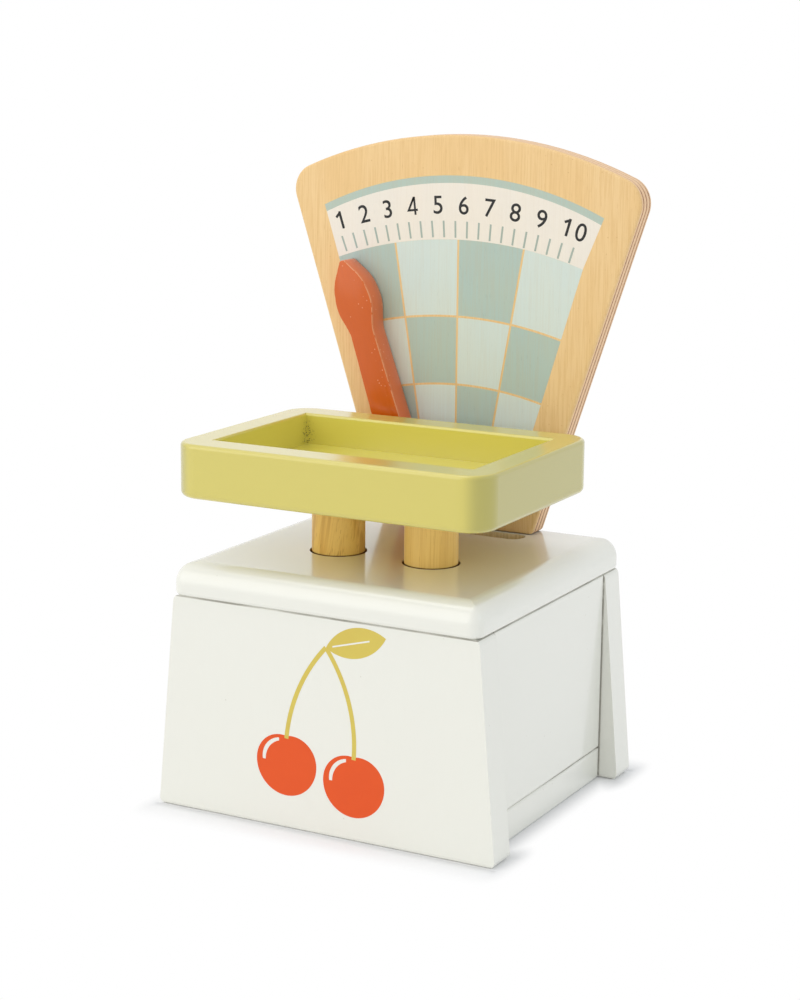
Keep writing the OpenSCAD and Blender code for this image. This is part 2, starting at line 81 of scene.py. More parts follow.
MM = 0.001
LID_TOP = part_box("lid")[1].z
DIAL_FACE, DIAL_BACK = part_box("dial_board")[0].y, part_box("dial_board")[1].y
BOX_FACE, FOOT_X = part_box("front_board")[0].y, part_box("front_board")[1].x
SEAM_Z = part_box("lid")[0].z
PANEL_X, PANEL_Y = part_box("side_panel_right")[1].x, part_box("side_panel_right")[1].y
BOTTOM_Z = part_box("bottom_board")[1].z
TRAY_LEFT, TRAY_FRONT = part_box("tray_floor")[0].xy
TRAY_BACK, TRAY_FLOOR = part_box("tray_floor")[1].yz
TRAY_INNER, TRAY_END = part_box("tray_rail_right")[0].x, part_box("tray_rail_right")[1].x
TRAY_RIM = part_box("tray_rail_back")[1].z
NEEDLE_LEAN = math.radians(18.6)

# The slot, the post holes and the dial's foot on the lid, each a little larger than in the source
SLOT_Y, SLOT_HALF_L, SLOT_HALF_W = 39.4 * MM, 31.55 * MM, 5.05 * MM
HOLE_R = 10.75 * MM
DIAL_FOOT_HALF = 30.8 * MM

# Every print is a thin film: how far it sinks into its board, how far it stands proud, the same for
# what lies on another print, and how far a film that only cuts stands proud, on the dial and in front
FILM_SUNK = 0.03 * MM
FILM_PROUD = 0.03 * MM
TICK_PROUD = 1.6 * FILM_PROUD
FIGURE_PROUD = 1.8 * FILM_PROUD
CUTTER = 10 * FILM_PROUD
FRONT_CUTTER = 9 * FILM_PROUD


def srgb(red, green, blue):
    """A colour as seen on screen, 0 to 255, as linear light."""
    def linear(value):
        value = value / 255
        return value / 12.92 if value <= 0.04045 else ((value + 0.055) / 1.055) ** 2.4
    return (linear(red), linear(green), linear(blue))


def colour(name, description, seen):
    return FloatVectorProperty(name=name, description=description, subtype="COLOR", size=3,
                               min=0, max=1, default=srgb(*seen))


def length(name, description, millimetres):
    return FloatProperty(name=name, description=description, unit="LENGTH", subtype="DISTANCE",
                         default=millimetres * MM)


def angle(name, description, degrees):
    return FloatProperty(name=name, description=description, unit="ROTATION", subtype="ANGLE",
                         default=math.radians(degrees))


# What a user would change

class ScalePaints(PropertyGroup):
    cream: colour("Cream", "Paint of the box and lid", (237, 237, 229))
    lime: colour("Lime", "Paint of the tray", (215, 203, 117))
    terracotta: colour("Terracotta", "Paint of the needle", (214, 110, 52))
    film_wear: FloatProperty(name="Wear", description="How much bare wood shows along painted arrises",
                             subtype="FACTOR", min=0, max=1, default=0.75)


class ScaleWoods(PropertyGroup):
    birch: colour("Birch", "Face of the plywood dial", (239, 206, 153))
    birch_edge: colour("Ply edge", "Light plies on the dial's edge", (243, 208, 170))
    ply_line: colour("Ply line", "Dark plies on the dial's edge", (160, 112, 82))
    beech: colour("Beech", "Posts, pegs and dowels", (254, 214, 132))
    pine: colour("Pine", "Blocks and crosshead inside the box", (222, 190, 138))
    raw: colour("Raw cut", "Bare wood inside the slot and the post holes", (247, 230, 190))


class ScaleDialPrint(PropertyGroup):
    stripe: colour("Stripe", "Ink of the arc and the ticks", (184, 201, 193))
    band: colour("Band", "Ink behind the numbers", (238, 233, 226))
    check_light: colour("Light check", "Ink of the light checks", (213, 226, 224))
    check_dark: colour("Dark check", "Ink of the dark checks", (182, 201, 195))
    figures: colour("Figures", "Ink of the numbers", (12, 14, 16))
    figure_h: length("Figure height", "Height of the numbers", 6.9)
    figure_r: length("Figure arc", "Radius of the arc that the numbers stand on", 168)
    figure_bold: length("Figure boldness", "How far a number's outline grows", 0.05)
    tick_w: length("Tick width", "Width of a tick", 0.76)
    check_gap: length("Check gap", "Bare wood left between two checks", 0.85)


class ScaleFrontPrint(PropertyGroup):
    red: colour("Red", "Ink of the cherries", (229, 93, 49))
    leaf: colour("Leaf", "Ink of the leaf and stems", (215, 195, 98))
    cherry_r: length("Cherry radius", "Radius of one lobe of a cherry", 10.2)
    lobe_gap: length("Lobe gap", "Distance between a cherry's two upper lobes", 4.4)
    stem_w: length("Stem width", "Width of a stem", 1.7)
    leaf_w: length("Leaf width", "Width of the leaf", 11)
    vein_w: length("Vein width", "Width of the bare line in the leaf", 0.6)


class ScaleStudio(PropertyGroup):
    azimuth: angle("Azimuth", "Camera's turn from the front towards the right", 28.166)
    elevation: angle("Elevation", "Camera's height above the horizon", 12.150)
    roll: angle("Roll", "Camera's turn about its own axis", 0.546)
    distance: length("Distance", "From the camera to the point it looks at", 839.196)
    target: FloatVectorProperty(name="Target", description="Point that the camera looks at",
                                unit="LENGTH", subtype="XYZ", size=3,
                                default=(-1.221 * MM, 0.124 * MM, 111.464 * MM))
    lens: FloatProperty(name="Lens", description="Focal length in millimetres on a 36 mm sensor",
                        subtype="DISTANCE_CAMERA", default=81.476)
    sky: FloatProperty(name="Sky", description="Strength of the light from all round", min=0, default=0.785)
    key: FloatProperty(name="Key", description="Power of the soft lamp", unit="POWER", min=0, default=19.5)
    top: FloatProperty(name="Top", description="Power of the lamp overhead", unit="POWER", min=0, default=8)
    fill: FloatProperty(name="Fill", description="Power of the cool lamp on the right", unit="POWER",
                        min=0, default=2.1)


# Hands: select, cut, join, bevel

def deselect():
    if bpy.context.mode != "OBJECT":
        bpy.ops.object.mode_set(mode="OBJECT")
    bpy.ops.object.select_all(action="DESELECT")


def pick(*pieces):
    """Selects these objects and no other; the first is active."""
    deselect()
    for piece in pieces:
        piece.select_set(True)
    bpy.context.view_layer.objects.active = pieces[0]


def added(name):
    """The object that the last operator added, under its own name."""
    piece = bpy.context.active_object
    piece.name = name
    piece.data.name = name
    return piece


def settle(piece):
    """Moves a piece's place, turn and size into its mesh."""
    pick(piece)
    bpy.ops.object.transform_apply(location=True, rotation=True, scale=True)
    return piece


def edit(piece):
    """Puts the piece alone in edit mode, with all of it selected."""
    pick(piece)
    bpy.ops.object.mode_set(mode="EDIT")
    bpy.ops.mesh.select_all(action="SELECT")


def twin(piece, name):
    pick(piece)
    bpy.ops.object.duplicate(linked=False)
    return added(name)


def joined(pieces, name):
    pick(*pieces)
    bpy.ops.object.join()
    return added(name)


def boolean(piece, other, operation):
    """Works the other object into the piece and throws the other away."""
    pick(piece)
    modifier = piece.modifiers.new("Work", "BOOLEAN")
    modifier.operation = operation
    modifier.solver = "EXACT"
    modifier.object = other
    bpy.ops.object.modifier_apply(modifier=modifier.name)
    bpy.data.objects.remove(other)
    return piece


def cut(piece, point, away):
    """Cuts the piece square through point and drops the side that away points to."""
    edit(piece)
    bpy.ops.mesh.bisect(plane_co=point, plane_no=away, use_fill=True, clear_outer=True,
                        threshold=0.001 * MM)
    bpy.ops.object.mode_set(mode="OBJECT")
    if not piece.data.polygons:
        raise RuntimeError(f"nothing is left of {piece.name} after a cut")
    return piece


def soften(piece, wanted, width, segments):
    """Rounds the piece's sharp edges whose two ends pass the test."""
    edit(piece)
    bpy.ops.mesh.select_mode(type="EDGE")
    bpy.ops.mesh.select_all(action="DESELECT")
    bpy.ops.mesh.edges_select_sharp(sharpness=math.radians(50))
    bpy.ops.object.mode_set(mode="OBJECT")
    points, edges = piece.data.vertices, piece.data.edges
    for edge in edges:
        edge.select = edge.select and wanted(*(points[i].co for i in edge.vertices))
    if not any(edge.select for edge in edges):
        raise RuntimeError(f"no edge of {piece.name} was found")
    bpy.ops.object.mode_set(mode="EDIT")
    bpy.ops.mesh.bevel(offset=width, segments=segments, profile=0.5, affect="EDGES", clamp_overlap=True)
    bpy.ops.object.mode_set(mode="OBJECT")
    return shade(piece, 35)


def solid_copy(node, name):
    """A closed copy of a CAD node's mesh, with the flat faces made whole."""
    piece = twin(frame["nodes"][node], name)
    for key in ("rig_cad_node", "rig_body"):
        if key in piece:
            del piece[key]
    piece.parent = None
    piece.matrix_world = Matrix.Identity(4)
    piece.data.materials.clear()
    edit(piece)
    bpy.ops.mesh.remove_doubles(threshold=0.004 * MM)
    bpy.ops.mesh.customdata_custom_splitnormals_clear()
    bpy.ops.mesh.dissolve_limited(angle_limit=math.radians(0.5))
    bpy.ops.object.mode_set(mode="OBJECT")
    return piece


def shade(piece, degrees=40):
    pick(piece)
    bpy.ops.object.shade_smooth_by_angle(angle=math.radians(degrees))
    return piece


def finish(piece, material, body="base"):
    """Gives a piece its only material and its body."""
    piece.data.materials.clear()
    piece.data.materials.append(material)
    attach(piece, body)


# Flat prints

def on_dial(x, z):
    """A place on the dial's face: x from the middle, z above the lid, in millimetres."""
    return Vector((x * MM, DIAL_FACE, LID_TOP + z * MM))


def on_front(x, z):
    """A place on the front board: x from the middle, z above the floor, in millimetres."""
    return Vector((x * MM, BOX_FACE, z * MM))


def disc(name, middle, radius, proud=FILM_PROUD, sides=720):
    """A round film on the face that goes through middle."""
    deselect()
    bpy.ops.mesh.primitive_cylinder_add(
        vertices=sides, radius=radius, depth=FILM_SUNK + proud,
        location=middle + Vector((0, (FILM_SUNK - proud) / 2, 0)), rotation=(math.pi / 2, 0, 0))
    return settle(added(name))


def bar(start, end, width):
    """A straight stroke of a number, lying flat."""
    along = end - start
    deselect()
    bpy.ops.mesh.primitive_cube_add(
        size=1, scale=(along.length, width, FIGURE_PROUD + FILM_SUNK),
        rotation=(0, 0, math.atan2(along.y, along.x)), location=(start + end) / 2)
    return settle(added("bar"))


def arc_band(name, outer, inner, proud=FILM_PROUD):
    """A film between two circles, each (x, z, radius) on the dial in millimetres; only the top is kept."""
    band = disc(name, on_dial(*outer[:2]), outer[2] * MM, proud)
    boolean(band, disc("hole", on_dial(*inner[:2]), inner[2] * MM, CUTTER), "DIFFERENCE")
    return cut(band, on_dial(0, 5), (0, 0, -1))


def cut_along(piece, low, high, keep_left, inset=0.0):
    """Cuts a film along the line from low to high, (x, z) on the dial, and keeps one side."""
    start, along = on_dial(*low), on_dial(*high) - on_dial(*low)
    right = Vector((along.z, 0, -along.x)).normalized()
    away = right if keep_left else -right
    return cut(piece, start - away * inset, away)


# Circles and lines of the print on the dial's face, (x, z, radius) and (x, z), in millimetres
STRIPE_TOP = (0, -2.5, 137.7)
BAND_TOP = (0, -2.5, 134.9)
BAND_LOW = (0.5, -45.8, 156.9)
CHECK_ARCS = [(0.5, -45.8, 156.88), (-0.25, -73.8, 155.6), (0.45, -77.0, 132.6), (0.45, -77.0, 109.6)]
CHECK_LINES = [((-17.15, 41.0), (-28.2, 108.9)), ((-1.0, 41.0), (-1.0, 108.9)), ((15.1, 42.1), (26.4, 108.5))]
BAND_SIDES = [((-53.0, 101.5), (-59.5, 121.8)), ((50.7, 103.1), (58.6, 122.1))]
CHECK_SIDES = [((-32.0, 41.5), (-53.0, 101.5)), ((32.0, 41.5), (50.7, 103.1))]
TICKS = 21
TICK_MEET = (1.6, -31.0)
TICK_FIRST = -20.75
TICK_LAST = 17.68
TICK_TOP = (-0.9, -40.7, 158.8)
TICK_LOW = (-0.8, -44.9, 156.7)
FIGURE_MIDDLE = (-0.5, -43.9)
FIGURE_X = [-52.8, -42.0, -31.7, -21.0, -9.9, 1.1, 12.1, 22.7, 33.5, 46.9]

# The front print, (x, z) on the front board in millimetres: the cherries' middles, how far above them
# a stem starts, the radius of each stem with the side it bows to, where they meet, and the leaf's tip
CHERRIES = [(-14.2, 24.9), (13.4, 21.4)]
CHERRY_DIMPLE = 9.0
STEM_BOWS = [62, -58]
FORK = (2.0, 69.9)
LEAF_TIP = (26.0, 76.4)


# Shader expressions

def sign(operation, reflected=False):
    """A method that turns a sign of arithmetic into a Math node."""
    def method(self, other):
        return self.shader.math(operation, *((other, self) if reflected else (self, other)))
    return method


class Wire:
    """A value on its way through a shader; arithmetic on it adds Math nodes."""
    __add__, __radd__ = sign("ADD"), sign("ADD", True)
    __sub__, __rsub__ = sign("SUBTRACT"), sign("SUBTRACT", True)
    __mul__, __rmul__ = sign("MULTIPLY"), sign("MULTIPLY", True)
    __truediv__, __rtruediv__ = sign("DIVIDE"), sign("DIVIDE", True)

    def __init__(self, shader, socket):
        self.shader = shader
        self.socket = socket

    def out(self, name):
        """Another output of the node that this value comes from."""
        return Wire(self.shader, self.socket.node.outputs[name])

    def __abs__(self):
        return self.shader.math("ABSOLUTE", self)


class Shader:
    """One material or world, built node by node."""

    def __init__(self, owner):
        owner.use_nodes = True
        self.owner = owner
        self.tree = owner.node_tree
        self.tree.nodes.clear()

    def node(self, kind, settings=None, values=None, output=0):
        """Adds a node: its settings first, then the values or links of its sockets."""
        made = self.tree.nodes.new(kind)
        for name, value in (settings or {}).items():
            setattr(made, name, value)
        for name, value in (values or {}).items():
            socket = made.inputs[name]
            if isinstance(value, Wire):
                self.tree.links.new(value.socket, socket)
            elif socket.type == "RGBA" and len(value) == 3:
                socket.default_value = (*value, 1.0)
            else:
                socket.default_value = value
        return Wire(self, made.outputs[output]) if made.outputs else made

    def math(self, operation, *values, clamp=False):
        settings = {"operation": operation, "use_clamp": clamp}
        return self.node("ShaderNodeMath", settings, dict(enumerate(values)))

    def clamp(self, value):
        return self.math("ADD", value, 0.0, clamp=True)

    def most(self, a, b):
        return self.math("MAXIMUM", a, b)

    def reach(self, first, *others):
        """The distance that these legs at right angles make up."""
        total = first * first
        for leg in others:
            total = total + leg * leg
        return self.math("SQRT", total)

    def ease(self, value, low, high):
        """0 up to low, 1 from high on, smooth between; low may be the larger of the two."""
        return self.node("ShaderNodeMapRange", {"interpolation_type": "SMOOTHSTEP"},
                         {"Value": value, "From Min": low, "From Max": high})

    def near(self, value, middle, half, soft):
        """1 where value is within half of middle, fading out over soft."""
        return 1 - self.ease(abs(value - middle), half, half + soft)

    def mix(self, amount, a, b, blend="MIX"):
        """A colour between a and b."""
        return self.node("ShaderNodeMix", {"data_type": "RGBA", "blend_type": blend},
                         {0: amount, 6: a, 7: b}, output=2)

    def mapped(self, place, scale=(1, 1, 1), turn=(0, 0, 0), move=(0, 0, 0)):
        return self.node("ShaderNodeMapping", {"vector_type": "POINT"},
                         {"Vector": place, "Location": move, "Rotation": turn, "Scale": scale})

    def axes(self, place):
        split = self.node("ShaderNodeSeparateXYZ", None, {0: place})
        return split, split.out("Y"), split.out("Z")

    def noise(self, place, scale, detail=3.0, roughness=0.55, distortion=0.0):
        """Clouds; scale is one number, or three to stretch them."""
        if isinstance(scale, tuple):
            place, scale = self.mapped(place, scale=scale), 1.0
        return self.node("ShaderNodeTexNoise", None,
                         {"Vector": place, "Scale": scale, "Detail": detail, "Roughness": roughness,
                          "Distortion": distortion})

    def cells(self, place, scale):
        return self.node("ShaderNodeTexVoronoi", None, {"Vector": place, "Scale": scale})

    def bump(self, height, strength, distance):
        values = {"Height": height, "Strength": strength, "Distance": distance}
        return self.node("ShaderNodeBump", None, values)

    def surface(self, base, roughness, relief, others=None):
        """Closes a material with a Principled shader and hands it over."""
        values = {"Base Color": base, "Roughness": roughness, "Normal": relief, "IOR": 1.45, **(others or {})}
        shader = self.node("ShaderNodeBsdfPrincipled", None, values)
        self.node("ShaderNodeOutputMaterial", None, {"Surface": shader})
        return self.owner

    def facing(self):
        """The three parts of the surface's direction."""
        return self.axes(self.node("ShaderNodeNewGeometry").out("Normal"))

    def looked_at(self):
        """1 for a ray from the camera, also one that a gloss or glass has turned."""
        path = self.node("ShaderNodeLightPath")
        turned = self.most(path.out("Is Glossy Ray"), path.out("Is Transmission Ray"))
        return self.most(path.out("Is Camera Ray"), turned)


def new_material(name):
    """A shader for a new material, and the place on the object, in metres, as a vector."""
    s = Shader(bpy.data.materials.new(name))
    return s, s.node("ShaderNodeTexCoord").out("Object")


def body_colour(seen, gloss=0.03):
    """The pigment under a clear gloss that adds about that much white light."""
    return tuple(max((value - gloss) / (1 - gloss), 0.0) for value in seen)


def tinted(seen, factor):
    return tuple(min(value * f, 1.0) for value, f in zip(seen, factor))


# Finishes

def paint(name, seen, grain, details, shine=1.5, blur=0.13):
    """Sprayed gloss over wood: a faint grain and orange peel, and a few fine pinholes.
    details adds its own marks: it takes the shader, the place and the colour so far.
    shine is the index of the clear coat, and blur its roughness."""
    s, place = new_material(name)
    cloud = s.noise(place, 13, 1)
    streaks = s.noise(s.mapped(place, scale=grain), 700, 2, 0.5)
    pigment = body_colour(seen, 0.035 + ((shine - 1) / (shine + 1)) ** 2)
    base = s.mix(cloud * 0.5, pigment, tinted(pigment, (0.98, 0.975, 0.96)))
    base = s.mix(streaks * 0.22, base, tinted(pigment, (0.95, 0.945, 0.925)))
    dots = s.cells(place, 210)
    pins = s.ease(dots, 0.075, 0.03) * s.ease(s.noise(place, 55, 1), 0.60, 0.66)
    base = s.mix(pins * 0.4, base, tinted(pigment, (0.55, 0.52, 0.44)))
    base, bare = details(s, place, base)
    peel = s.noise(place, 330, 1)
    relief = s.bump(peel * 0.6 + streaks * 0.4, 0.05, 0.12 * MM)
    return s.surface(base, 0.3 + cloud * 0.06 + bare * 0.3, relief,
                     {"IOR": 1.52, "Coat Weight": 1 - bare, "Coat Roughness": blur, "Coat IOR": shine})


def wood_grain(s, place, fine=1500.0, run=55.0):
    """Fine streaks that run along Z: light and dark lines, and short dark pores."""
    lines = s.noise(place, (fine, fine, run), 3, 0.6)
    pores = s.noise(place, (1.7 * fine, 1.7 * fine, 5 * run), 1, 0.5)
    return lines, s.ease(pores, 0.66, 0.8)


def birch_ply(name, woods):
    """Plywood: a fine upright grain on the face veneer, and seven plies seen on the edge."""
    s, place = new_material(name)
    _, y, z = s.axes(place)
    lines, pores = wood_grain(s, place, fine=2000)
    figure = s.noise(place, (42, 42, 12), 3, 0.5, 0.4)
    fleck = s.ease(s.cells(place, 330), 0.11, 0.05) * s.ease(s.noise(place, 45, 1), 0.5, 0.6)
    face = body_colour(woods.birch)
    light, dark = tinted(face, (1.01, 1.0, 1.0)), tinted(face, (0.98, 0.935, 0.86))
    base = s.mix(s.ease(figure, 0.36, 0.64), light, dark)
    base = s.mix(s.ease(lines, 0.40, 0.66) * 0.75, base, tinted(face, (0.90, 0.83, 0.72)))
    base = s.mix(s.clamp(pores * 0.7 + fleck) * 0.55, base, tinted(face, (0.72, 0.58, 0.42)))
    # On the edge, every other ply shows its darker end grain
    depth = (y - DIAL_FACE) / (DIAL_BACK - DIAL_FACE)
    wave = s.noise(place, (70, 0, 70), 2) * 0.05 - 0.025
    ply = s.math("MODULO", (depth + wave) * 7, 2.0)
    cross = 1 - s.ease(abs(ply - 1.5), 0.22, 0.44)
    edge_light = body_colour(woods.birch_edge, 0.02)
    edge_dark = body_colour(woods.ply_line, 0.02)
    fibres = s.noise(place, (1400, 500, 1400), 2, 0.6)
    edge = s.mix(s.ease(fibres, 0.4, 0.7) * 0.5, edge_light, tinted(edge_light, (0.88, 0.80, 0.70)))
    end_grain = s.mix(s.ease(fibres, 0.35, 0.6) * 0.45, edge_dark, tinted(edge_light, (0.86, 0.74, 0.62)))
    # Seen along the grain from above, the plies differ less
    edge = s.mix(cross * (1 - s.ease(s.facing()[2], 0.4, 0.85) * 0.6), edge, end_grain)
    inside = s.ease(y, DIAL_FACE + 0.7 * MM, DIAL_FACE + 1.0 * MM) \
        * (1 - s.ease(y, DIAL_BACK - 1.0 * MM, DIAL_BACK - 0.7 * MM))
    base = s.mix(inside, base, edge)
    # Painted shadow: the dial's face and edges darken just above the lid's top
    base = s.mix((1 - s.ease(z, LID_TOP + 0.15 * MM, LID_TOP + 0.6 * MM)) * 0.7, base, srgb(110, 70, 45))
    height = lines * 0.6 - pores * 0.8 - inside * cross * 0.4
    return s.surface(base, 0.40 + inside * 0.25, s.bump(height, 0.25, 0.06 * MM))


def turned_wood(name, seen, lean=0.0, dark=0.5, middle=(0, 0, 0), gloss=0.36, foot=0.0):
    """A clear-lacquered round of wood: rings cut lengthwise, streaks and open pores."""
    s, place = new_material(name)
    local = s.mapped(place, turn=(0, lean, 0), move=(-middle[0], -middle[1], 0))
    lines, pores = wood_grain(s, local, fine=1500, run=28)
    warp = s.noise(local, (70, 70, 12), 2)
    rings = s.noise(s.mapped(local, scale=(420, 240, 9), move=(0.7, 1.9, 0)), 1.0, 2, 0.4, 0.6)
    dashes = s.noise(local, (1500, 1500, 170), 1, 0.4)
    light = body_colour(seen)
    base = s.mix(s.ease(warp, 0.35, 0.65) * 0.5, light, tinted(light, (0.93, 0.88, 0.76)))
    base = s.mix(s.ease(rings, 0.56, 0.64) * dark, base, tinted(light, (0.74, 0.62, 0.44)))
    base = s.mix(s.ease(lines, 0.50, 0.66) * 0.55, base, tinted(light, (0.82, 0.72, 0.56)))
    base = s.mix(s.ease(dashes, 0.66, 0.74) * dark * 0.8, base, tinted(light, (0.60, 0.45, 0.28)))
    base = s.mix(pores * 0.3, base, tinted(light, (0.60, 0.46, 0.32)))
    if foot:
        # Below the lid's top the round is in the dark of its hole
        base = s.mix(s.ease(s.axes(place)[2], foot + 0.3 * MM, foot), base, srgb(96, 62, 30))
    return s.surface(base, gloss + lines * 0.08, s.bump(lines * 0.5 - pores, 0.3, 0.06 * MM))


def zinc(name):
    """Zinc-plated steel: bright grey with a fine brushed haze."""
    s, place = new_material(name)
    haze = s.noise(place, 700, 3)
    spots = s.noise(place, 140, 2)
    base = s.mix(s.ease(spots, 0.4, 0.7) * 0.6, srgb(196, 197, 199), srgb(170, 170, 168))
    relief = s.bump(haze, 0.15, 0.05 * MM)
    return s.surface(base, 0.26 + haze * 0.16, relief, {"Metallic": 1.0, "IOR": 1.5})


def wool_felt(name):
    """Grey felt: tangled fibres, no gloss."""
    s, place = new_material(name)
    fibres = s.noise(place, 1500, 4, 0.7, 1.5)
    clumps = s.noise(place, 300, 2)
    base = s.mix(s.ease(fibres, 0.3, 0.7), srgb(96, 96, 92), srgb(140, 139, 133))
    base = s.mix(s.ease(clumps, 0.45, 0.7) * 0.4, base, srgb(84, 84, 82))
    return s.surface(base, 0.95, s.bump(fibres + clumps, 0.8, 0.25 * MM), {"IOR": 1.3})


def ink(name, seen, under, show=0.25, gloss=0.04):
    """Screen-printed ink on birch: the upright grain shows through it."""
    s, place = new_material(name)
    lines, pores = wood_grain(s, place, fine=2100)
    blotch = s.noise(place, (45, 45, 22), 2)
    pigment, wood = body_colour(seen, gloss), body_colour(under, gloss)
    through = [0.55 * p + 0.3 * w for p, w in zip(pigment, wood)]
    warm, cool = tinted(pigment, (1.04, 1.0, 0.95)), tinted(pigment, (0.95, 1.0, 1.04))
    base = s.mix(s.ease(blotch, 0.32, 0.68) * show * 2, warm, cool)
    base = s.mix(s.ease(lines, 0.38, 0.70) * show, base, through)
    base = s.mix(pores * show * 1.6, base, tinted(pigment, (0.62, 0.68, 0.68)))
    return s.surface(base, 0.4 + blotch * 0.08, s.bump(lines * 0.6 - pores * 0.8, 0.25, 0.06 * MM))


def poster_ink(name, seen):
    """Thick screen ink on paint: a slightly mottled film with faint rubs."""
    s, place = new_material(name)
    mottle = s.noise(place, 90, 3, 0.6)
    rub = s.noise(s.mapped(place, turn=(0, 0.35, 0)), (40, 40, 800), 2, 0.6)
    rubs = s.ease(rub, 0.66, 0.78) * s.ease(s.noise(place, 35, 1), 0.52, 0.62)
    pigment = body_colour(seen)
    base = s.mix(s.ease(mottle, 0.35, 0.7) * 0.5, pigment, tinted(pigment, (0.97, 0.92, 0.90)))
    base = s.mix(rubs * 0.18, base, tinted(pigment, (1.1, 1.5, 2.2)))
    return s.surface(base, 0.28 + mottle * 0.1, s.bump(mottle, 0.15, 0.03 * MM))


# The operators

class TOYSCALE_OT_finishes(Operator):
    """Give every CAD node its paint, wood or metal"""
    bl_idname = "toyscale.finishes"
    bl_label = "Finish the CAD nodes"

    def execute(self, context):
        paints, woods = context.scene.toy_scale_paints, context.scene.toy_scale_woods
        seam_dark = srgb(96, 88, 72)
        raw = body_colour(woods.raw, 0.01)
        post_left, post_right = (sum(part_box(node), Vector()) / 2 for node in ("post_left", "post_right"))

        def under_the_lid(s, place):
            """The joint under the lid, which fades where paint has closed it."""
            open_here = s.clamp(0.72 + (s.noise(place, 38, 2) - 0.5) * 2.4)
            return s.near(s.axes(place)[2], SEAM_Z - 0.35 * MM, 0.14 * MM, 0.16 * MM) * open_here

        def seams(s, place, base):
            """Dark, slightly wavy joints between the boards of the box."""
            x, y, z = s.axes(place)
            waver = (s.noise(place, 170, 2) - 0.5) * 0.5 * MM
            wide = s.noise(place, 60, 2) - 0.5
            beside = s.near(abs(y) + waver, PANEL_Y, (0.04 + wide * 0.25) * MM, 0.14 * MM) \
                * s.near(x, 0.0, PANEL_X + 0.1 * MM, 0.35 * MM) * s.ease(z, SEAM_Z, SEAM_Z - 0.5 * MM)
            over_bottom = s.near(z + waver, BOTTOM_Z, 0.12 * MM, 0.16 * MM) \
                * s.near(y, 0.0, PANEL_Y - 0.2 * MM, 0.1 * MM) \
                * s.clamp(0.12 + s.ease(y, -0.4 * PANEL_Y, 0.5 * PANEL_Y) * 0.6 + wide)
            gap = s.most(under_the_lid(s, place), s.most(beside, over_bottom))
            return s.mix(gap * 0.62, base, seam_dark), gap

        def lid_marks(s, place, base):
            """Bare wood inside the slot and the post holes, with painted shade in the holes, and a painted
            shadow line round the dial's foot.
            """
            x, y, z = s.axes(place)
            gap = under_the_lid(s, place)
            base = s.mix(gap * 0.62, base, seam_dark)
            slot = s.near(x, 0.0, SLOT_HALF_L, 0.1 * MM) * s.near(y, SLOT_Y, SLOT_HALF_W, 0.1 * MM)
            holes = s.most(*(s.near(s.reach(x - post.x, y - post.y), 0.0, HOLE_R, 0.06 * MM)
                             for post in (post_left, post_right)))
            inside = s.most(slot, holes) * s.ease(z, LID_TOP - 0.25 * MM, LID_TOP - 0.6 * MM)
            streak = s.noise(place, (700, 700, 90), 2)
            bare = s.mix(s.ease(streak, 0.35, 0.65), raw, tinted(raw, (0.82, 0.80, 0.74)))
            # Painted shade: the wood inside the post holes is darkened
            bare = s.mix(holes * 0.9, bare, srgb(150, 102, 58))
            base = s.mix(inside, base, bare)
            # A painted shadow line on the lid round the dial's foot
            middle, half = (DIAL_FACE + DIAL_BACK) / 2 + 0.4 * MM, (DIAL_BACK - DIAL_FACE) / 2 - 0.1 * MM
            foot = s.near(x, 0.0, DIAL_FOOT_HALF, 0.3 * MM) * s.near(y, middle, half, 0.3 * MM)
            base = s.mix(foot * s.ease(z, LID_TOP - 0.1 * MM, LID_TOP) * 0.8, base, srgb(105, 70, 50))
            return base, s.most(inside, gap)

        upright = paint("painted_cream", paints.cream, (1, 1, 0.12), seams)
        across = paint("painted_cream_lid", paints.cream, (0.1, 1, 1), lid_marks)
        side = paint("painted_cream_side", paints.cream, (1, 0.12, 1), seams)
        lime_across = paint("painted_lime", paints.lime, (0.1, 1, 1), self.tray_marks, shine=1.6, blur=0.2)
        lime_back = paint("painted_lime_ends", paints.lime, (1, 0.1, 1), self.tray_marks, shine=1.6, blur=0.2)
        ply = birch_ply("birch_plywood", woods)
        left = turned_wood("beech_left_post", tinted(woods.beech, (1.04, 1.0, 0.9)),
                           lean=math.radians(-8), dark=0.75, middle=post_left, foot=LID_TOP)
        right = turned_wood("beech_right_post", woods.beech, lean=math.radians(-1), dark=0.25,
                            middle=post_right, foot=LID_TOP)
        dowel = turned_wood("beech_dowel", woods.beech)
        pine = turned_wood("bare_pine", woods.pine, dark=0.45, gloss=0.55)
        steel = zinc("zinc_steel")
        felt = wool_felt("wool_felt")
        wearing = {
            upright: ["front_board", "back_board", "bottom_board"],
            across: ["lid"],
            side: ["side_panel_left", "side_panel_right"],
            lime_across: ["tray_rail_front", "tray_rail_back", "tray_floor"],
            lime_back: ["tray_rail_left", "tray_rail_right"],
            ply: ["dial_board"],
            left: ["post_left"],
            right: ["post_right"],
            dowel: ["lid_dowels", "pivot_dowel", "pivot_spacer", "guide_pegs", "drive_block"],
            pine: ["corner_blocks", "crosshead"],
            steel: ["bottom_screws", "dial_screws", "pivot_washer", "pivot_screw", "spring_left",
                    "spring_right", "block_screws", "drive_pin"],
            felt: ["stop_felts"],
        }
        for material, names in wearing.items():
            for name in names:
                node = frame["nodes"][name]
                node.data.materials.clear()
                node.data.materials.append(material)
        return {"FINISHED"}

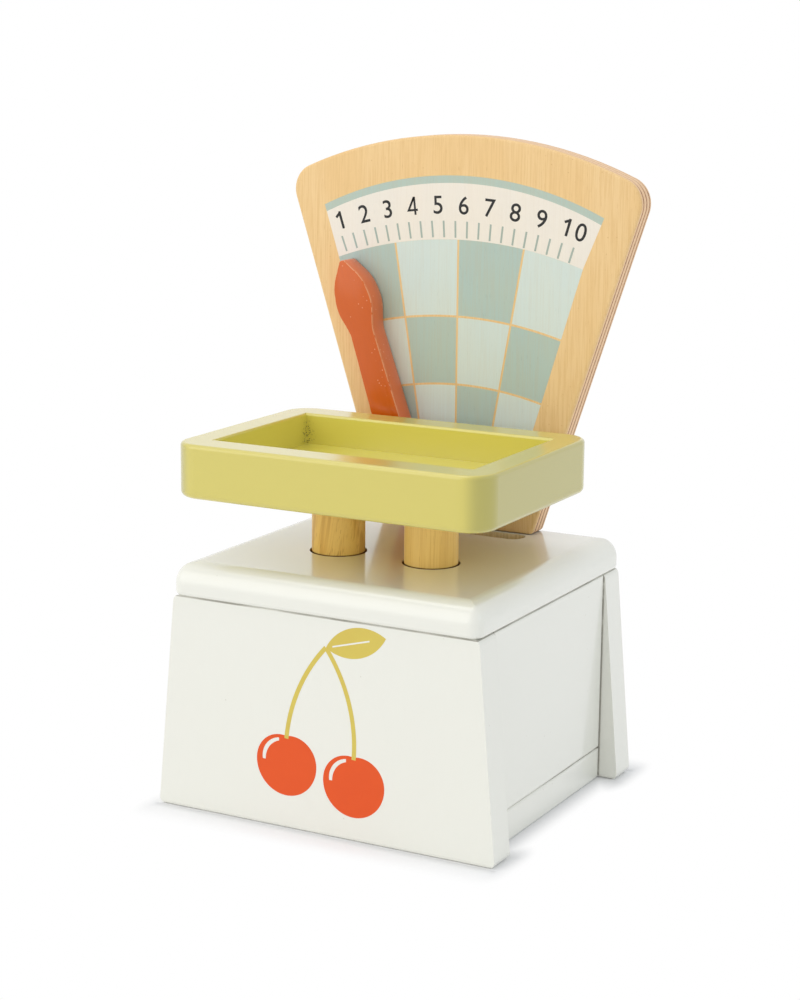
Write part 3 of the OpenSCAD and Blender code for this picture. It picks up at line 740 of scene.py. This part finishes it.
    @staticmethod
    def tray_marks(s, place, base):
        """Painted shade on the outer ends, painted light inside the tray, and pinholes in one inner corner.
        """
        x, y, z = s.axes(place)
        # Painted shade: the outward faces of the end rails are darkened
        end = s.ease(abs(s.facing()[0]), 0.15, 0.7) * s.ease(abs(x), TRAY_INNER, TRAY_END - 9 * MM)
        base = s.mix(end, base, s.mix(1.0, base, (0.71, 0.73, 0.70), "MULTIPLY"))
        # Painted light: the paint within the rails is made lighter
        middle, half = (TRAY_BACK + TRAY_FRONT) / 2, (TRAY_BACK - TRAY_FRONT) / 2
        inside = s.near(x, 0.0, -TRAY_LEFT, 0.5 * MM) * s.near(y, middle, half, 0.5 * MM)
        base = s.mix(inside, base, s.mix(1.0, base, (1.13, 1.17, 1.12), "MULTIPLY"))
        away = abs(x - TRAY_LEFT) + abs(y - TRAY_BACK)
        height = z - TRAY_FLOOR
        corner = s.ease(away, 5 * MM, 0.4 * MM) * s.ease(height, -0.1 * MM, 0.4 * MM) \
            * s.ease(height, TRAY_RIM - TRAY_FLOOR - 1 * MM, 4 * MM)
        dots = s.ease(s.cells(place, 1500), 0.42, 0.22)
        chance = s.ease(s.noise(place, 800, 1) + corner * 0.3, 0.56, 0.66)
        return s.mix(s.clamp(corner * 1.6) * dots * chance * 0.9, base, srgb(84, 78, 40)), 0.0


class TOYSCALE_OT_dial_board(Operator):
    """Soften the outer edges of the plywood dial"""
    bl_idname = "toyscale.dial_board"
    bl_label = "Dial board"

    def execute(self, context):
        piece = solid_copy("dial_board", "dial_soft_edged")
        foot = LID_TOP + 1.5 * MM

        def outer(a, b):
            level = abs(a.y - b.y) < 0.01 * MM
            return level and a.z > foot and b.z > foot

        finish(soften(piece, outer, 1.1 * MM, 5), bpy.data.materials["birch_plywood"], "base")
        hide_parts("dial_board")
        return {"FINISHED"}


class TOYSCALE_OT_needle(Operator):
    """Soften the needle's edges and paint it, with wear and a painted highlight along the arrises"""
    bl_idname = "toyscale.needle"
    bl_label = "Needle"

    def execute(self, context):
        piece = solid_copy("needle", "needle_soft_edged")

        def level(a, b):
            return abs(a.y - b.y) < 0.01 * MM

        terracotta = self.worn_paint(context.scene.toy_scale_paints)
        finish(soften(piece, level, 0.35 * MM, 2), terracotta, "needle")
        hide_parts("needle")
        return {"FINISHED"}

    @staticmethod
    def worn_paint(paints):
        s, place = new_material("painted_terracotta")
        local = s.mapped(place, turn=(0, NEEDLE_LEAN, 0))
        pigment = body_colour(paints.terracotta, 0.05)
        cloud = s.noise(local, 22, 2)
        streaks = s.noise(local, (900, 900, 70), 2, 0.6)
        base = s.mix(s.ease(cloud, 0.3, 0.7) * 0.6, pigment, tinted(pigment, (0.94, 0.93, 0.92)))
        base = s.mix(s.ease(streaks, 0.45, 0.75) * 0.3, base, tinted(pigment, (0.88, 0.84, 0.8)))
        # The rounded arrises are where the surface faces neither straight forward nor straight aside
        across, forward, _ = s.facing()
        turned = abs(forward)
        # The sides are painted lighter and paler than the face, as painted light and sheen
        base = s.mix(s.ease(turned, 0.5, 0.1) * 0.6, base, srgb(236, 128, 84))
        arris = s.ease(turned, 0.12, 0.3) * s.ease(turned, 0.985, 0.93)
        chips = s.noise(local, (900, 900, 330), 2, 0.7)
        # Pale bare wood where paint has rubbed off the arrises, and a painted highlight: more of it on the
        # arrises that face right
        wear_and_highlight = arris * s.ease(chips + s.ease(across, -0.2, 0.3) * 0.14, 0.50, 0.62)
        specks = s.ease(s.cells(local, 560), 0.18, 0.10) * s.ease(s.noise(local, 110, 1), 0.53, 0.59)
        base = s.mix(s.clamp(wear_and_highlight * paints.film_wear + specks * 0.6), base, srgb(246, 184, 140))
        relief = s.bump(streaks * 0.6 - arris * chips, 0.15, 0.1 * MM)
        return s.surface(base, 0.3 + cloud * 0.08, relief,
                         {"IOR": 1.3, "Coat Weight": 0.6, "Coat Roughness": 0.2, "Coat IOR": 1.5})


class TOYSCALE_OT_springs(Operator):
    """Give the two springs zinc-plated copies of their own in place of the CAD nodes"""
    bl_idname = "toyscale.springs"
    bl_label = "Springs"

    def execute(self, context):
        for node in ("spring_left", "spring_right"):
            coil = solid_copy(node, node + "_coil")
            finish(shade(coil), bpy.data.materials["zinc_steel"], "base")
            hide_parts(node)
            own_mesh(coil)
        return {"FINISHED"}


class TOYSCALE_OT_dial_stripe(Operator):
    """Print the grey-green stripe and the cream band on the dial"""
    bl_idname = "toyscale.dial_stripe"
    bl_label = "Dial stripe and band"

    def execute(self, context):
        inks = context.scene.toy_scale_dial
        woods = context.scene.toy_scale_woods
        for name, outer, inner, tone, show in (
                ("dial_stripe", STRIPE_TOP, BAND_TOP, inks.stripe, 0.25),
                ("dial_band", BAND_TOP, BAND_LOW, inks.band, 0.12)):
            band = arc_band(name, outer, inner)
            for (low, high), keep_left in zip(BAND_SIDES, (False, True)):
                cut_along(band, low, high, keep_left)
            finish(shade(band, 20), ink(name + "_ink", tone, woods.birch, show))
        return {"FINISHED"}


class TOYSCALE_OT_dial_checks(Operator):
    """Print the three rows of checks on the dial"""
    bl_idname = "toyscale.dial_checks"
    bl_label = "Dial checks"

    def execute(self, context):
        inks = context.scene.toy_scale_dial
        woods = context.scene.toy_scale_woods
        gap = inks.check_gap / 2
        lines = [CHECK_SIDES[0], *CHECK_LINES, CHECK_SIDES[1]]
        checks = {"dark": [], "light": []}
        for row in range(3):
            upper, lower = CHECK_ARCS[row], CHECK_ARCS[row + 1]
            inset = 0.0 if row == 0 else gap / MM
            strip = arc_band("strip", (*upper[:2], upper[2] - inset), (*lower[:2], lower[2] + gap / MM))
            for column in range(4):
                tone = "dark" if (row + column) % 2 == 0 else "light"
                check = twin(strip, "check")
                cut_along(check, *lines[column], keep_left=False, inset=0.0 if column == 0 else gap)
                cut_along(check, *lines[column + 1], keep_left=True, inset=0.0 if column == 3 else gap)
                checks[tone].append(check)
            bpy.data.objects.remove(strip)
        for tone, seen, show in (("dark", inks.check_dark, 0.34), ("light", inks.check_light, 0.2)):
            piece = joined(checks[tone], "dial_checks_" + tone)
            finish(shade(piece, 20), ink(f"check_{tone}_ink", seen, woods.birch, show))
        return {"FINISHED"}


class TOYSCALE_OT_dial_ticks(Operator):
    """Print the ticks on the band"""
    bl_idname = "toyscale.dial_ticks"
    bl_label = "Dial ticks"

    def execute(self, context):
        inks = context.scene.toy_scale_dial
        woods = context.scene.toy_scale_woods
        strip = arc_band("strip", TICK_TOP, TICK_LOW, TICK_PROUD)
        meet = on_dial(*TICK_MEET)
        ticks = []
        for number in range(TICKS):
            lean = math.radians(TICK_FIRST + (TICK_LAST - TICK_FIRST) * number / (TICKS - 1))
            right = Vector((math.cos(lean), 0, -math.sin(lean)))
            tick = twin(strip, "tick")
            cut(tick, meet + right * inks.tick_w / 2, right)
            cut(tick, meet - right * inks.tick_w / 2, -right)
            ticks.append(tick)
        bpy.data.objects.remove(strip)
        grey = tinted(inks.stripe, (0.80, 0.80, 0.82))
        finish(joined(ticks, "dial_ticks"), ink("tick_ink", grey, woods.birch, 0.15))
        return {"FINISHED"}


class TOYSCALE_OT_dial_numbers(Operator):
    """Print the numbers 1 to 10 on the band"""
    bl_idname = "toyscale.dial_numbers"
    bl_label = "Dial numbers"

    def execute(self, context):
        inks = context.scene.toy_scale_dial
        figures = []
        for number, x in enumerate(FIGURE_X, 1):
            figure = self.four(inks) if number == 4 else self.figure(inks, str(number))
            corners = [vertex.co for vertex in figure.data.vertices]
            middle = [(min(co[i] for co in corners) + max(co[i] for co in corners)) / 2 for i in range(3)]
            figure.location = -Vector(middle)
            settle(figure)
            lean = math.asin((x - FIGURE_MIDDLE[0]) * MM / inks.figure_r)
            z = FIGURE_MIDDLE[1] + inks.figure_r / MM * math.cos(lean)
            figure.location = on_dial(x, z) + Vector((0, (FILM_SUNK - FIGURE_PROUD) / 2, 0))
            figure.rotation_euler = (math.pi / 2, lean, 0)
            figures.append(settle(figure))
        numbers = shade(joined(figures, "dial_numbers"), 20)
        finish(numbers, ink("figure_ink", inks.figures, inks.band, 0.04, gloss=0.0))
        return {"FINISHED"}

    @staticmethod
    def figure(inks, digits):
        """A number lying flat; a leading 1 gets its flag."""
        deselect()
        bpy.ops.object.text_add()
        text = bpy.context.active_object
        text.data.body = digits
        text.data.space_character = 1.12
        text.data.offset = inks.figure_bold
        text.data.size = inks.figure_h
        bpy.context.view_layer.update()
        text.data.size = inks.figure_h ** 2 / text.dimensions.y
        text.data.extrude = (FIGURE_PROUD + FILM_SUNK) / 2
        text.data.resolution_u = 8
        bpy.ops.object.convert(target="MESH")
        figure = added("figure_" + digits)
        edit(figure)
        bpy.ops.mesh.remove_doubles(threshold=0.001 * MM)
        bpy.ops.mesh.normals_make_consistent(inside=False)
        bpy.ops.object.mode_set(mode="OBJECT")
        if digits.startswith("1"):
            corners = [vertex.co for vertex in figure.data.vertices]
            left = min(co.x for co in corners)
            top = max(co.y for co in corners)
            stroke = max(co.x for co in corners if co.x < left + 0.25 * inks.figure_h) - left
            lean, flag = math.radians(33), 0.34 * inks.figure_h
            high = Vector((left + stroke / 2, top - 0.62 * stroke, 0))
            low = high - flag * Vector((math.cos(lean), math.sin(lean), 0))
            boolean(figure, bar(low, high, 0.95 * stroke), "UNION")
        return figure

    @staticmethod
    def four(inks):
        """The 4, drawn as three bars, so that its inside stays open."""
        tall, stroke = inks.figure_h, inks.figure_h * 0.12
        right, level = 0.43 * tall, 0.27 * tall
        slope = bar(Vector((-0.1 * tall, 0.05 * tall, 0)), Vector((0.46 * tall, 1.06 * tall, 0)), stroke)
        cut(slope, (0, tall, 0), (0, 1, 0))
        cut(slope, (0, level - stroke / 2, 0), (0, -1, 0))
        cut(slope, (right + stroke / 2, 0, 0), (1, 0, 0))
        left = min(vertex.co.x for vertex in slope.data.vertices)
        across = bar(Vector((left + stroke / 2, level, 0)), Vector((0.6 * tall, level, 0)), stroke)
        upright = bar(Vector((right, 0, 0)), Vector((right, tall, 0)), stroke)
        return boolean(boolean(slope, across, "UNION"), upright, "UNION")


class TOYSCALE_OT_front_cherries(Operator):
    """Print a pair of cherries with forked stems and a leaf on the front board"""
    bl_idname = "toyscale.front_cherries"
    bl_label = "Front cherries"

    def execute(self, context):
        inks = context.scene.toy_scale_front
        cherries = joined([self.cherry(inks, *place) for place in CHERRIES], "front_cherries")
        finish(shade(cherries, 20), poster_ink("cherry_ink", inks.red))
        green = self.leaf(inks)
        for (x, z), bow, proud in zip(CHERRIES, STEM_BOWS, (1.4, 1.6)):
            boolean(green, self.stem(inks, (x, z + CHERRY_DIMPLE), bow, proud * FILM_PROUD), "UNION")
        green.name = green.data.name = "front_leaf_and_stems"
        finish(shade(green, 20), poster_ink("leaf_ink", inks.leaf))
        return {"FINISHED"}

    @staticmethod
    def cherry(inks, x, z):
        """Two lobes side by side over half of a larger disc, with a narrow highlight left bare."""
        radius, gap = inks.cherry_r / MM, inks.lobe_gap / MM

        def dot(name, right, up, size, proud=FILM_PROUD):
            return disc(name, on_front(x + right, z + up), size * MM, proud, 240)

        fruit = dot("cherry", -gap / 2, 0, radius)
        boolean(fruit, dot("lobe", gap / 2, 0, radius, 1.3 * FILM_PROUD), "UNION")
        below = dot("below", 0, 0, radius + gap / 2, 1.6 * FILM_PROUD)
        boolean(fruit, cut(below, on_front(x, z), (0, 0, 1)), "UNION")
        shine = dot("shine", -0.2 * radius, 0.1 * radius, 0.78 * radius, FRONT_CUTTER)
        shadow = dot("shadow", -0.09 * radius, 0.03 * radius, 0.76 * radius, 2 * FRONT_CUTTER)
        boolean(shine, shadow, "DIFFERENCE")
        cut(shine, on_front(x - 0.3 * radius, z), (1, 0, 0))
        cut(shine, on_front(x, z), (0, 0, -1))
        return boolean(fruit, shine, "DIFFERENCE")

    @staticmethod
    def stem(inks, low, bow, proud):
        """A slice of a large ring from a cherry's dimple to the fork; bow is its radius and its side."""
        start, end = on_front(*low), on_front(*FORK)
        along = end - start
        side = Vector((along.z, 0, -along.x)).normalized()
        radius = abs(bow) * MM
        reach = math.sqrt(radius ** 2 - (along.length / 2) ** 2)
        middle = (start + end) / 2 + side * math.copysign(reach, bow)
        ring = disc("stem", middle, radius + inks.stem_w / 2, proud)
        boolean(ring, disc("hole", middle, radius - inks.stem_w / 2, FRONT_CUTTER), "DIFFERENCE")
        for point, outward in ((start, -1), (end, 1)):
            spoke = point - middle
            tangent = Vector((spoke.z, 0, -spoke.x))
            if tangent.dot(along) < 0:
                tangent = -tangent
            cut(ring, point, tangent * outward)
        return ring

    @staticmethod
    def leaf(inks):
        """Where two large discs meet, with its vein left bare."""
        base, tip = on_front(*FORK), on_front(*LEAF_TIP)
        along = tip - base
        side = Vector((-along.z, 0, along.x)).normalized()
        half_l, half_w = along.length / 2, inks.leaf_w / 2
        radius = (half_l ** 2 + half_w ** 2) / (2 * half_w)
        middle = (base + tip) / 2
        blade = disc("leaf", middle + side * (radius - half_w), radius, 1.2 * FILM_PROUD)
        other = disc("other", middle - side * (radius - half_w), radius, FRONT_CUTTER)
        boolean(blade, other, "INTERSECT")
        deselect()
        bpy.ops.mesh.primitive_cube_add(
            size=1, location=middle - along * 0.08, rotation=(0, math.atan2(-along.z, along.x), 0),
            scale=(along.length * 0.62, 2 * CUTTER, inks.vein_w))
        return boolean(blade, settle(added("vein")), "DIFFERENCE")


class TOYSCALE_OT_studio(Operator):
    """Set the pale floor, the soft lights and the camera"""
    bl_idname = "toyscale.studio"
    bl_label = "Studio"

    def execute(self, context):
        studio = context.scene.toy_scale_studio
        self.floor()
        self.sky(context, studio)
        deselect()
        for name, place, size, power, tone in (
                ("key_lamp", (-1.5, -2.2, 1.2), 2.8, studio.key, (1.0, 0.97, 0.91)),
                ("top_lamp", (-0.5, -0.3, 2.2), 1.4, studio.top, (1.0, 0.98, 0.94)),
                ("cool_lamp", (2.0, 0.2, 1.2), 1.4, studio.fill, (0.58, 0.82, 1.0))):
            aim = (Vector(place) - Vector((0, 0, 0.1))).to_track_quat("Z", "Y").to_euler()
            bpy.ops.object.light_add(type="AREA", location=place, rotation=aim)
            lamp = added(name)
            lamp.data.shape = "DISK"
            lamp.data.size = size
            lamp.data.energy = power
            lamp.data.color = tone
        turn = Matrix.Rotation(studio.azimuth, 3, "Z")
        turn = turn @ Matrix.Rotation(math.pi / 2 - studio.elevation, 3, "X")
        place = Vector(studio.target) + turn @ Vector((0, 0, studio.distance))
        turn = turn @ Matrix.Rotation(studio.roll, 3, "Z")
        bpy.ops.object.camera_add(location=place, rotation=turn.to_euler())
        camera = added("studio_camera")
        camera.data.sensor_width = 36
        camera.data.lens = studio.lens
        camera.data.clip_start = 0.01
        camera.data.clip_end = 50
        context.scene.camera = camera
        context.scene.view_settings.view_transform = "Standard"
        return {"FINISHED"}

    @staticmethod
    def floor():
        """White to the eye, but for the shadow close round the box, deepened by a painted shadow along the
        front edge; the fades stretch the distances.
        """
        deselect()
        bpy.ops.mesh.primitive_plane_add(size=12, location=(0, 0, -0.02 * MM))
        floor = added("studio_floor")
        edit(floor)
        bpy.ops.mesh.subdivide(number_cuts=3)
        bpy.ops.object.mode_set(mode="OBJECT")
        settle(floor)
        s, place = new_material("studio_floor")
        x, y, _ = s.axes(place)
        beside = s.most(abs(x) - PANEL_X, 0.0) * 1.45
        past_foot = s.most(abs(x) - FOOT_X, 0.0) * 1.7
        between = s.most(PANEL_Y - abs(y), 0.0) * 0.75
        before = s.most(abs(y) + BOX_FACE, 0.0) * 0.75
        away = s.math("MINIMUM", s.reach(beside, before), s.reach(past_foot, between, before))
        seen = s.looked_at()
        # A painted shadow: the floor is darker in a narrow strip along the box's front
        painted_contact_shadow = s.ease(before, 0.0, 0.1 * MM) * s.ease(before, 3.6 * MM, 0.2 * MM) \
            * s.ease(past_foot, 4 * MM, 0.0)
        tone = s.mix(seen, (0.96, 0.96, 0.96), s.mix(painted_contact_shadow, (0.90, 0.90, 0.91), (0.76, 0.76, 0.77)))
        matt = s.node("ShaderNodeBsdfDiffuse", None, {"Color": tone})
        glow = s.node("ShaderNodeEmission", None, {"Color": (1.0, 1.0, 1.0, 1.0), "Strength": 1.0})
        pale = seen * s.ease(away, -1 * MM, 13 * MM)
        shown = s.node("ShaderNodeMixShader", None, {0: pale, 1: matt, 2: glow})
        s.node("ShaderNodeOutputMaterial", None, {"Surface": shown})
        floor.data.materials.append(s.owner)

    @staticmethod
    def sky(context, studio):
        world = context.scene.world or bpy.data.worlds.new("studio_sky")
        context.scene.world = world
        s = Shader(world)
        seen = s.looked_at()
        tone = s.mix(seen, (0.975, 0.99, 1.01), (1.0, 1.0, 1.0))
        back = s.node("ShaderNodeBackground", None,
                      {"Color": tone, "Strength": studio.sky + seen * (1.0 - studio.sky)})
        s.node("ShaderNodeOutputWorld", None, {"Surface": back})


PIECES = (TOYSCALE_OT_finishes, TOYSCALE_OT_dial_board, TOYSCALE_OT_needle, TOYSCALE_OT_springs,
          TOYSCALE_OT_dial_stripe, TOYSCALE_OT_dial_checks, TOYSCALE_OT_dial_ticks,
          TOYSCALE_OT_dial_numbers, TOYSCALE_OT_front_cherries, TOYSCALE_OT_studio)
GROUPS = (("toy_scale_paints", "Paints", ScalePaints), ("toy_scale_woods", "Woods", ScaleWoods),
          ("toy_scale_dial", "Dial print", ScaleDialPrint),
          ("toy_scale_front", "Front print", ScaleFrontPrint), ("toy_scale_studio", "Studio", ScaleStudio))


class TOYSCALE_PT_sidebar(Panel):
    """Sizes, colours and steps of the toy scale"""
    bl_idname = "TOYSCALE_PT_sidebar"
    bl_label = "Toy Scale"
    bl_space_type = "VIEW_3D"
    bl_region_type = "UI"
    bl_category = "Toy Scale"

    def draw(self, context):
        for attribute, title, group in GROUPS:
            box = self.layout.box()
            box.label(text=title)
            for name in group.__annotations__:
                box.prop(getattr(context.scene, attribute), name)
        column = self.layout.column(align=True)
        for piece in PIECES:
            column.operator(piece.bl_idname)


CLASSES = (*(group for _, _, group in GROUPS), *PIECES, TOYSCALE_PT_sidebar)


def register():
    for made in CLASSES:
        bpy.utils.register_class(made)
    for attribute, _, group in GROUPS:
        setattr(bpy.types.Scene, attribute, PointerProperty(type=group))


def unregister():
    for attribute, _, _ in GROUPS:
        delattr(bpy.types.Scene, attribute)
    for made in reversed(CLASSES):
        bpy.utils.unregister_class(made)


def main():
    register()
    bpy.ops.toyscale.finishes()
    bpy.ops.toyscale.dial_board()
    bpy.ops.toyscale.needle()
    bpy.ops.toyscale.springs()
    bpy.ops.toyscale.dial_stripe()
    bpy.ops.toyscale.dial_checks()
    bpy.ops.toyscale.dial_ticks()
    bpy.ops.toyscale.dial_numbers()
    bpy.ops.toyscale.front_cherries()
    bpy.ops.toyscale.studio()
    deselect()


if __name__ == "__main__":
    main()
